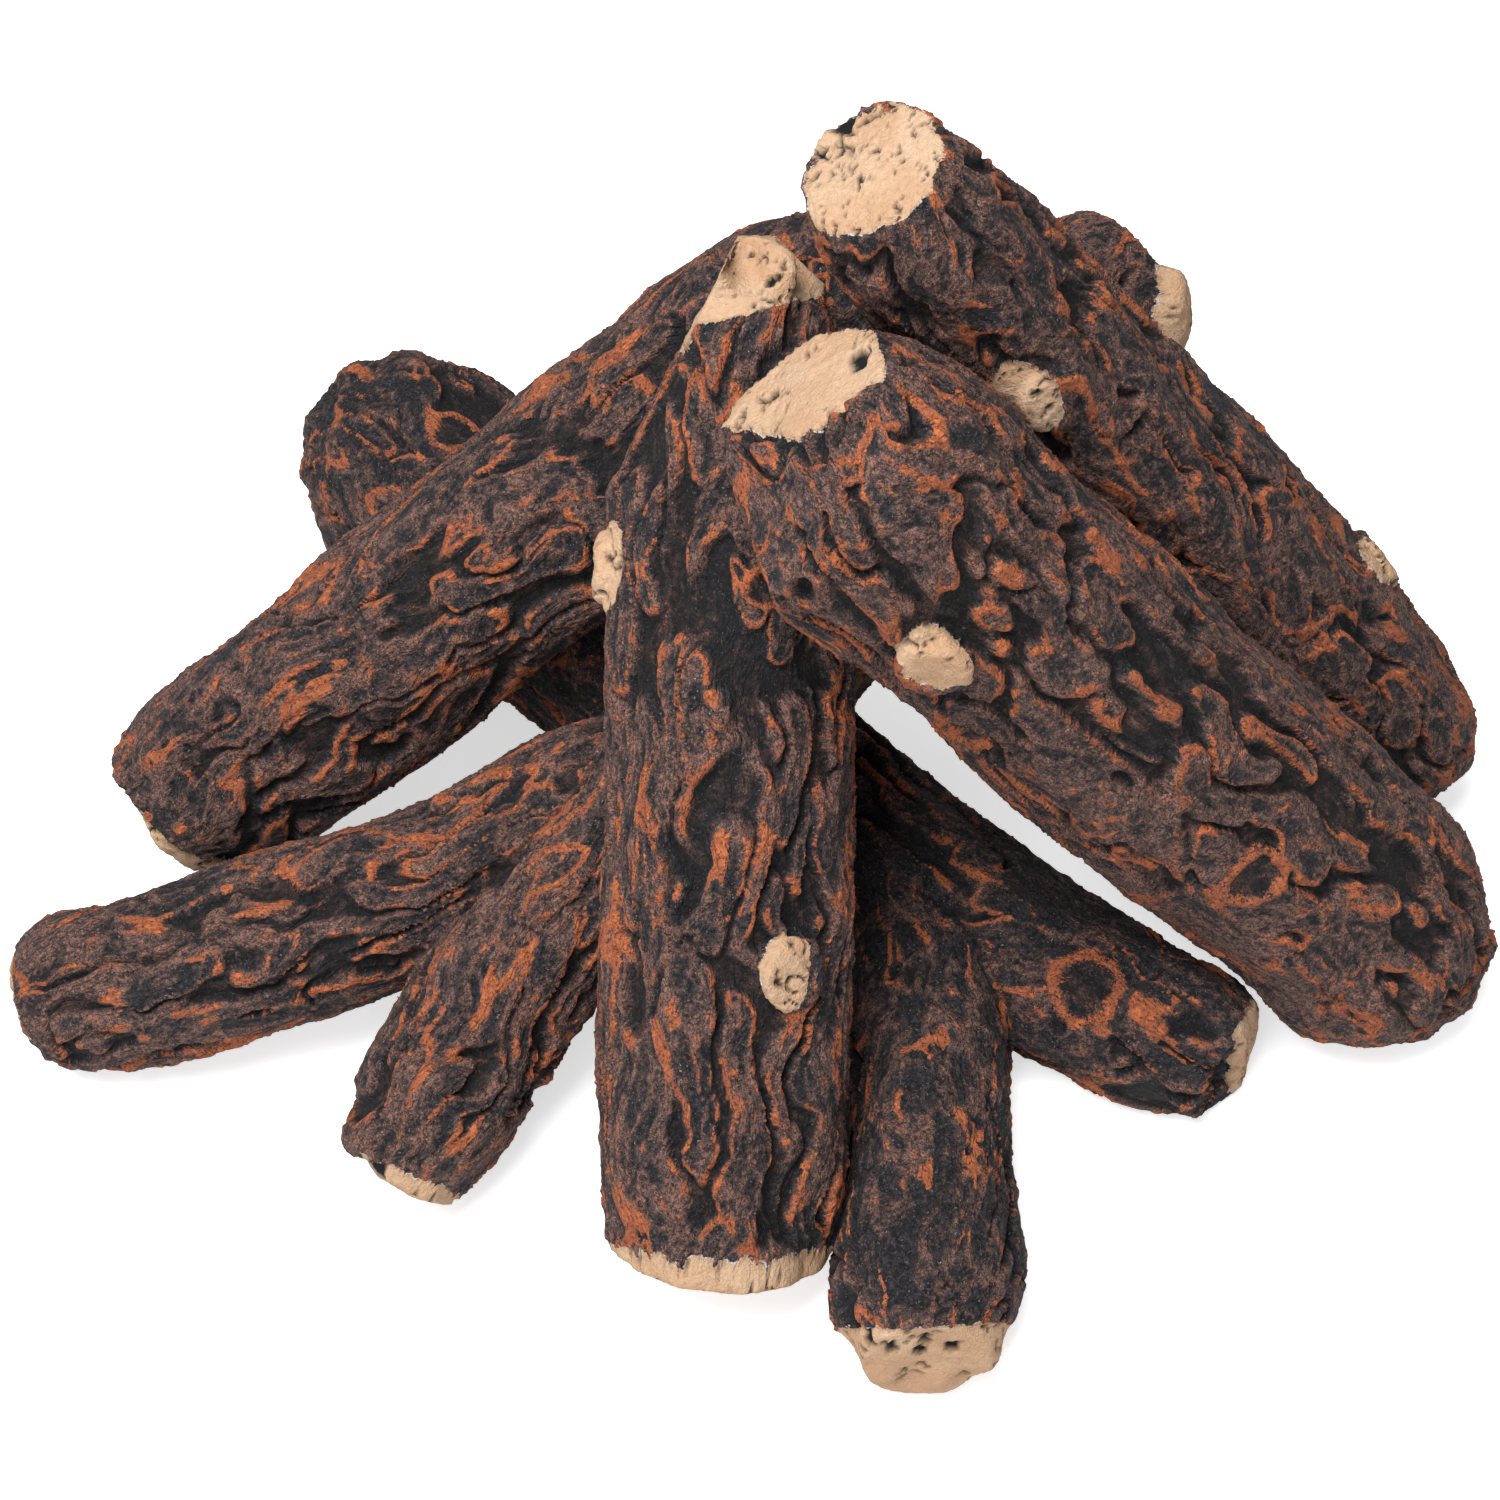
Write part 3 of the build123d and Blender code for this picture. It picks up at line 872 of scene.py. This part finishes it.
place = paint.add("ShaderNodeTexCoord", output="Object")
blotch = paint.noise(place, scale=55.0, detail=4.0, roughness=0.6, distortion=0.6)
streak = paint.noise(place, scale=260.0, detail=4.0, roughness=0.6, distortion=1.6)
scratch = paint.noise(place, scale=500.0, detail=3.0, roughness=0.6, distortion=2.0)
speckle = paint.noise(place, scale=560.0, detail=4.0, roughness=0.7, distortion=0.8)
grit = paint.noise(place, scale=1000.0, detail=2.0, roughness=0.6)
print("nodes for the masks and the noises:", len(paint.nodes))

# %% Lines that follow the grain, and lines that curl
grain = paint.add("ShaderNodeAttribute", {"attribute_name": "grain"}, output="Vector")
vein = paint.noise(grain, scale=0.17, detail=3.0, roughness=0.55, distortion=0.7)
strand = paint.noise(grain, scale=0.42, detail=3.0, roughness=0.6, distortion=1.0)
veins = paint.line(vein, thin=0.035, wide=0.1)
strands = paint.line(strand, thin=0.03, wide=0.09)
squiggle = paint.line(streak, thin=0.008, wide=0.034)
thread = paint.line(scratch, thin=0.012, wide=0.05)
print("nodes with the lines:", len(paint.nodes))

# %% Where the film and the dry brush took
cluster = paint.step(proud + 0.8 * (blotch - 0.5), 0.35, 0.8)
threads = squiggle + 0.7 * thread + 0.35 * strands
dusting = cluster * threads * paint.step(speckle, 0.34, 0.58)
drybrush = 0.95 * crest + 0.2 * veins * cluster + 0.1 * strands
drybrush = drybrush + 0.4 * (blotch - 0.5)
drybrush = drybrush + 1.1 * (scratch - 0.5) + 0.25 * (speckle - 0.5)
rusting = paint.step(drybrush, 0.43, 0.51)

# %% Lay the paint, layer by layer
ashes = paint.step(grit + 0.6 * (speckle - 0.5), 0.58, 0.74)
# Painted glints: small pale specks scattered through the grain.
painted_glints = paint.step(grit - 0.4 * (speckle - 0.5), 0.64, 0.72)
specks = paint.step(grit + 0.9 * (scratch - 0.5), 0.57, 0.66)
rust = paint.mix(paint.step(streak, 0.4, 0.55), BRICK, RUST)

colour = paint.mix(paint.step(speckle, 0.36, 0.66), SOOT_AND_SHADE, CHARCOAL)
colour = paint.mix(0.6 * ashes, colour, ASH)
colour = paint.mix(0.35 * cluster, colour, UMBER)
colour = paint.mix(0.85 * dusting, colour, DUST)
# Lay the painted glints.
colour = paint.mix(0.8 * painted_glints, colour, GLINT)
# Painted shade: the furrows are darkened towards near-black wherever no rust lies on them.
colour = paint.mix(0.65 * crease * (1.0 - rusting), colour, SOOT_AND_SHADE)
colour = paint.mix(rusting, colour, rust)
colour = paint.mix(0.65 * specks, colour, SOOT_AND_SHADE)
print("nodes with the layers of paint:", len(paint.nodes))

# %% [markdown]
# ## The bare ceramic
#
# Ends and knots show the cast ceramic, a matte cream with paler blotches and near-black pits.
# Along the edge the paint chipped off in small flakes and left some white. The speckle shifts
# the edge, so that the border between paint and cream is broken and not a clean line.

# %% Cream inside the broken edge of the paint
ceramic = paint.mix(paint.step(blotch, 0.35, 0.7), CREAM, PALE_CREAM)
ceramic = paint.mix(0.3 * paint.step(speckle, 0.56, 0.75), ceramic, DUST)
ceramic = paint.mix(pit, ceramic, SOOT_AND_SHADE)
edge = bare + 0.7 * (speckle - 0.5)
chips = paint.step(edge, 0.2, 0.3) * paint.step(streak, 0.5, 0.55)
colour = paint.mix(0.8 * chips, colour, CHALK)
shown = paint.step(edge, 0.38, 0.46)
colour = paint.mix(shown, colour, ceramic)

# %% [markdown]
# ## The surface
#
# The relief above is as fine as the grid of the skin. The sandy grain of the ceramic and the
# thin lines of the brush are finer still, so they come from a bump in the material. Paint and
# ceramic are both matte, the ceramic a little more.

# %% Bump, roughness and the finished material
BUMP_DEPTH_M = 0.0018

lines = 0.2 * squiggle + 0.3 * strands + 0.5 * veins
relief = 0.6 * speckle + 0.5 * grit + lines * (1.0 - bare)
bump = {"Strength": 0.9, "Distance": BUMP_DEPTH_M, "Height": relief}
paint.feed(paint.surface.inputs["Normal"], paint.add("ShaderNodeBump", {}, bump))
paint.feed(paint.surface.inputs["Base Color"], colour)
paint.feed(paint.surface.inputs["Roughness"], 0.8 + 0.12 * shown)
paint.surface.inputs["Specular IOR Level"].default_value = 0.3
print("nodes in the whole material:", len(paint.nodes))

# %% [markdown]
# ## Skin for solid
#
# All six skins share the one material. Each skin takes the place of its CAD solid and rides on
# that solid's body, so that it moves when the log is lifted off the pile.

# %% Paint the skins and tie them to the logs
for name, skin in skins.items():
    skin.data.materials.clear()
    skin.data.materials.append(paint.material)
    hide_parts(name)
    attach(skin, name)
print("skins with the paint:", len(skins))

# %% [markdown]
# ## The studio
#
# The photograph was taken on a white table under a broad soft light from above. The floor is a
# pale plane. For the camera alone it also gives off a little light of its own, so that it turns
# white while the pile still casts its soft shadow on it. A large lamp hangs above, a little to
# the left and in front, a weaker one fills in from the front, and the white world lifts the
# shadows between the logs.

# %% The floor
FLOOR_REACH_M = 6
FLOOR_GLOW = 0.6

floor_shape = bmesh.new()
bmesh.ops.create_grid(floor_shape, x_segments=1, y_segments=1, size=FLOOR_REACH_M)
floor_mesh = bpy.data.meshes.new("floor")
floor_shape.to_mesh(floor_mesh)
floor_shape.free()
floor = bpy.data.objects.new("floor", floor_mesh)
bpy.context.scene.collection.objects.link(floor)

table = Shader("white_table")
table.surface.inputs["Base Color"].default_value = (0.86, 0.86, 0.87, 1)
table.surface.inputs["Roughness"].default_value = 0.9
seen = table.add("ShaderNodeLightPath", output="Is Camera Ray")
table.surface.inputs["Emission Color"].default_value = (1, 1, 1, 1)
table.feed(table.surface.inputs["Emission Strength"], FLOOR_GLOW * seen)
floor_mesh.materials.append(table.material)
floor_reach = max(corner.co.x for corner in floor_mesh.vertices)
print("the floor reaches", floor_reach, "m to each side")

# %% The world and the lamps
WORLD_STRENGTH = 0.27

world = bpy.data.worlds.new("studio")
world.use_nodes = True
world.node_tree.nodes["Background"].inputs["Color"].default_value = (1, 1, 1, 1)
world.node_tree.nodes["Background"].inputs["Strength"].default_value = WORLD_STRENGTH
bpy.context.scene.world = world


def soft_lamp(name, place, aim, size, watts):
    """A square area lamp that points at a spot."""
    lamp = bpy.data.lights.new(name, "AREA")
    lamp.size = size
    lamp.energy = watts
    holder = bpy.data.objects.new(name, lamp)
    holder.location = place
    holder.rotation_euler = (Vector(aim) - Vector(place)).to_track_quat("-Z", "Y").to_euler()
    bpy.context.scene.collection.objects.link(holder)
    print(f"{name}: {watts} W, {size} m wide")


soft_lamp("overhead_softbox", (-0.45, -0.45, 1.95), aim=(0, 0, 0.1), size=1.1, watts=58)
soft_lamp("front_softbox", (-0.5, -1.7, 1.2), aim=(0, 0, 0.15), size=1.2, watts=12)
